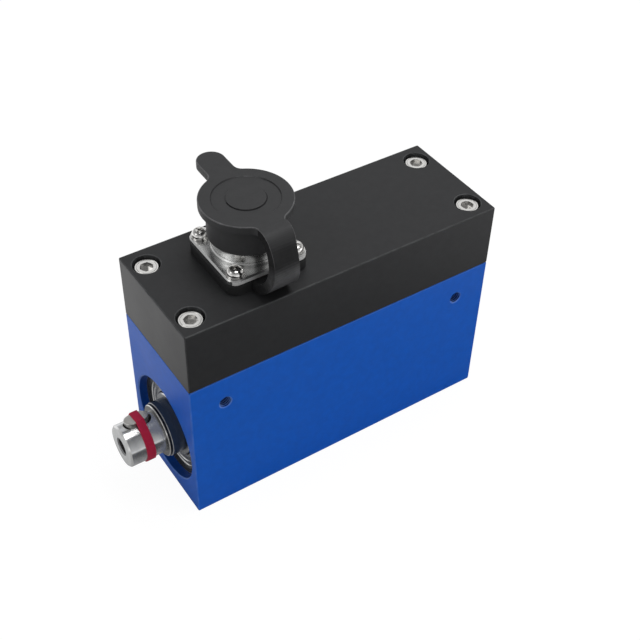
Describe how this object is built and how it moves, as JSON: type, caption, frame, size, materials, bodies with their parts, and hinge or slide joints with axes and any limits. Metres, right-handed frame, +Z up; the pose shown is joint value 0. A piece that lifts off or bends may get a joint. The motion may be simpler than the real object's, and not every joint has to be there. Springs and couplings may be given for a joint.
{
  "type": "rotary torque sensor",
  "caption": "Rotary torque sensor: a keyed shaft turning in a blue block housing with a black cover, and a round signal connector under a rubber dust cap.",
  "frame": {"origin": "middle of the housing's underside", "axes": "+X along the shaft away from the connector's end, +Z up to the connector, +Y away from the strap's side"},
  "size_m": [0.137, 0.0478, 0.0983],
  "materials": {
    "blue_anodised": "satin anodised",
    "black_anodised": "satin anodised",
    "screw_steel": "stainless, turned",
    "sleeve_steel": "black oxide, turned",
    "bearing_steel": "ground",
    "shield_steel": "pressed",
    "shaft_steel": "ground",
    "key_steel": "drawn",
    "spring_steel": "polished",
    "red_rubber": "matte",
    "gauge_foil": "amber film",
    "ferrite": "matte",
    "copper": "enamelled",
    "green_board": "solder mask",
    "chip_black": "moulded",
    "nickel_steel": "nickel plated",
    "connector_metal": "satin nickel",
    "insert_plastic": "moulded",
    "contact_gold": "gold plated",
    "wire_cover": "soft",
    "black_rubber": "matte moulded"
  },
  "bodies": {
    "stator": {"board_parts": "chip_black", "board_screws": "nickel_steel", "board_standoffs": "nickel_steel", "cap_strap": "black_rubber", "connector_insert": "insert_plastic", "connector_shell": "connector_metal", "connector_wires": "wire_cover", "contact_pins": "contact_gold", "cover": "black_anodised", "cover_screws": "screw_steel", "cover_seal": "black_rubber", "flange_pad": "black_rubber", "flange_screws": "nickel_steel", "flange_washers": "nickel_steel", "housing": "blue_anodised", "left_outer_ring": "bearing_steel", "left_shields": "shield_steel", "left_stator_core": "ferrite", "left_stator_winding": "copper", "preload_spring": "spring_steel", "right_outer_ring": "bearing_steel", "right_shields": "shield_steel", "right_stator_core": "ferrite", "right_stator_winding": "copper", "signal_board": "green_board", "stator_leads": "copper"},
    "rotor": {"left_inner_ring": "bearing_steel", "left_key": "key_steel", "left_key_band": "red_rubber", "left_retaining_ring": "spring_steel", "left_rotor_core": "ferrite", "left_rotor_winding": "copper", "left_sleeve": "sleeve_steel", "right_inner_ring": "bearing_steel", "right_key": "key_steel", "right_key_band": "red_rubber", "right_retaining_ring": "spring_steel", "right_rotor_core": "ferrite", "right_rotor_winding": "copper", "right_sleeve": "sleeve_steel", "rotor_chips": "chip_black", "rotor_disc": "green_board", "strain_gauges": "gauge_foil", "torsion_shaft": "shaft_steel"},
    "left_ball_set": {"left_balls": "bearing_steel", "left_ball_cage": "shield_steel"},
    "right_ball_set": {"right_balls": "bearing_steel", "right_ball_cage": "shield_steel"},
    "cap": {"dust_cap": "black_rubber"}
  },
  "joints": [
    {"name": "shaft_spin", "type": "hinge", "parent": "stator", "child": "rotor", "pos_m": [0, 0, 0.0208], "axis": [1, 0, 0], "continuous": true},
    {"name": "left_balls_spin", "type": "hinge", "parent": "stator", "child": "left_ball_set", "pos_m": [-0.0463, 0, 0.0208], "axis": [1, 0, 0], "continuous": true},
    {"name": "right_balls_spin", "type": "hinge", "parent": "stator", "child": "right_ball_set", "pos_m": [0.0463, 0, 0.0208], "axis": [1, 0, 0], "continuous": true},
    {"name": "cap_pull", "type": "slide", "parent": "stator", "child": "cap", "axis": [0, 0, 1], "range_m": [0, 0.015], "deforming": ["cap_strap"]}
  ],
  "couplings": [
    {"joint": "left_balls_spin", "follows": "shaft_spin", "ratio": 0.381},
    {"joint": "right_balls_spin", "follows": "shaft_spin", "ratio": 0.381}
  ]
}
